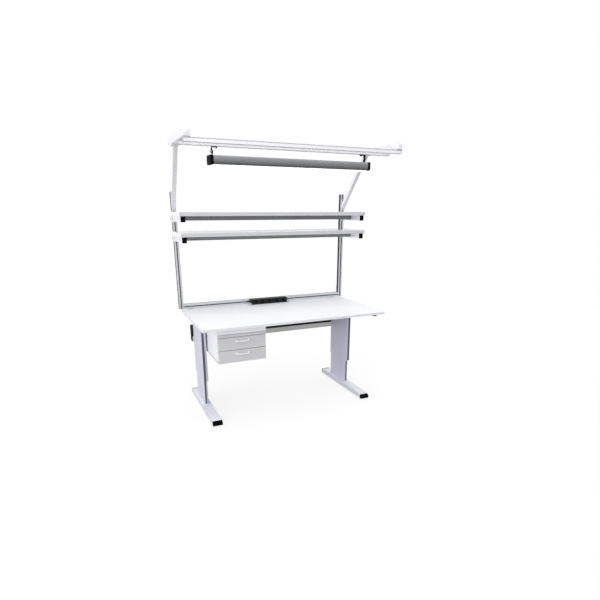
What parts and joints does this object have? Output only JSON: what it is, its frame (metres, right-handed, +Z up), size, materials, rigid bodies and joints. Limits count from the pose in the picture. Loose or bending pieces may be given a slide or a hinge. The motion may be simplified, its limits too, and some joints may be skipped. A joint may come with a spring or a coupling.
{
  "type": "height-adjustable anti-static workbench",
  "caption": "Height-adjustable anti-static workbench with slotted uprights, height-set shelves, tilting lamp, overhead tool rails, socket strip and a drawer unit under the top",
  "frame": {"origin": "on the floor under the middle of the bench's box", "axes": "+Z up, +Y from the user's side to the back, +X to the user's right"},
  "size_m": [1.586, 0.889, 2.042],
  "materials": {
    "frame_paint": "light grey powder-coated steel",
    "drawer_paint": "grey powder-coated sheet steel",
    "white_paint": "white powder-coated steel",
    "dark_paint": "dark grey powder-coated steel",
    "laminate": "chipboard with a pale anti-static laminate",
    "edge_plastic": "pale moulded edge band",
    "black_plastic": "black moulded plastic",
    "grey_plastic": "grey moulded plastic",
    "anodised": "natural anodised aluminium extrusion",
    "zinc_steel": "bright zinc-plated steel",
    "lamp_paint": "grey powder-coated aluminium extrusion",
    "opal": "opal acrylic",
    "tube_glass": "phosphor-coated glass tube"
  },
  "bodies": {
    "base": {"foot_tubes": "frame_paint", "foot_end_caps": "black_plastic", "leg_columns": "frame_paint", "column_inserts": "black_plastic", "lift_actuators": "zinc_steel", "column_bolts": "zinc_steel"},
    "table": {"leg_sleeves": "frame_paint", "sleeve_inserts": "black_plastic", "actuator_rods": "zinc_steel", "support_arms": "frame_paint", "frame_rails": "frame_paint", "table_board": "laminate", "table_edge_band": "edge_plastic", "cable_channel": "dark_paint", "channel_end_caps": "black_plastic", "control_box": "black_plastic", "hand_switch_housing": "grey_plastic", "socket_strip": "black_plastic", "socket_clamps": "grey_plastic", "uprights": "anodised", "cross_rail": "anodised", "mounting_plates": "frame_paint", "struts": "frame_paint", "cantilever_arms": "anodised", "tool_rails": "white_paint", "frame_end_caps": "grey_plastic", "frame_bolts": "zinc_steel", "lamp_hangers": "zinc_steel", "drawer_casing": "drawer_paint", "drawer_runners": "zinc_steel"},
    "lamp": {"lamp_body": "lamp_paint", "lamp_end_caps": "black_plastic", "lamp_diffuser": "opal", "lamp_gear_tray": "white_paint", "lamp_tube": "tube_glass", "lamp_lugs": "zinc_steel"},
    "top_drawer": {"pencil_drawer": "drawer_paint"},
    "upper_drawer": {"upper_drawer_front": "drawer_paint", "upper_drawer_box": "drawer_paint", "upper_drawer_handle": "white_paint"},
    "lower_drawer": {"lower_drawer_front": "drawer_paint", "lower_drawer_box": "drawer_paint", "lower_drawer_handle": "white_paint"},
    "upper_shelf": {"upper_shelf_panel": "laminate", "upper_shelf_brackets": "anodised", "upper_shelf_caps": "black_plastic", "upper_shelf_bolts": "zinc_steel", "upper_shelf_crossbar": "dark_paint"},
    "lower_shelf": {"lower_shelf_panel": "laminate", "lower_shelf_brackets": "anodised", "lower_shelf_caps": "black_plastic", "lower_shelf_bolts": "zinc_steel", "lower_shelf_crossbar": "dark_paint"},
    "lift_up_button": {"up_button": "grey_plastic"},
    "lift_down_button": {"down_button": "grey_plastic"},
    "front_left_foot_pad": {"leveller_front_left": "black_plastic"},
    "front_right_foot_pad": {"leveller_front_right": "black_plastic"},
    "rear_left_foot_pad": {"leveller_rear_left": "black_plastic"},
    "rear_right_foot_pad": {"leveller_rear_right": "black_plastic"}
  },
  "joints": [
    {"name": "table_lift", "type": "slide", "parent": "base", "child": "table", "axis": [0, 0, 1], "range_m": [-0.12, 0.17]},
    {"name": "lamp_tilt", "type": "hinge", "parent": "table", "child": "lamp", "pos_m": [0, -0.2535, 1.94], "axis": [1, 0, 0], "range_deg": [-25, 25]},
    {"name": "top_drawer_slide", "type": "slide", "parent": "table", "child": "top_drawer", "axis": [0, -1, 0], "range_m": [0, 0.35]},
    {"name": "upper_drawer_slide", "type": "slide", "parent": "table", "child": "upper_drawer", "axis": [0, -1, 0], "range_m": [0, 0.35]},
    {"name": "lower_drawer_slide", "type": "slide", "parent": "table", "child": "lower_drawer", "axis": [0, -1, 0], "range_m": [0, 0.35]},
    {"name": "upper_shelf_height", "type": "slide", "parent": "table", "child": "upper_shelf", "axis": [0, 0, 1], "range_m": [-0.045, 0]},
    {"name": "lower_shelf_height", "type": "slide", "parent": "table", "child": "lower_shelf", "axis": [0, 0, 1], "range_m": [-0.45, 0.015]},
    {"name": "lift_up_press", "type": "slide", "parent": "table", "child": "lift_up_button", "axis": [0, 1, 0], "range_m": [0, 0.0012], "stiffness_N_per_m": 600},
    {"name": "lift_down_press", "type": "slide", "parent": "table", "child": "lift_down_button", "axis": [0, 1, 0], "range_m": [0, 0.0012], "stiffness_N_per_m": 600},
    {"name": "front_left_levelling", "type": "slide", "parent": "base", "child": "front_left_foot_pad", "axis": [0, 0, -1], "range_m": [0, 0.015]},
    {"name": "front_right_levelling", "type": "slide", "parent": "base", "child": "front_right_foot_pad", "axis": [0, 0, -1], "range_m": [0, 0.015]},
    {"name": "rear_left_levelling", "type": "slide", "parent": "base", "child": "rear_left_foot_pad", "axis": [0, 0, -1], "range_m": [0, 0.015]},
    {"name": "rear_right_levelling", "type": "slide", "parent": "base", "child": "rear_right_foot_pad", "axis": [0, 0, -1], "range_m": [0, 0.015]}
  ]
}
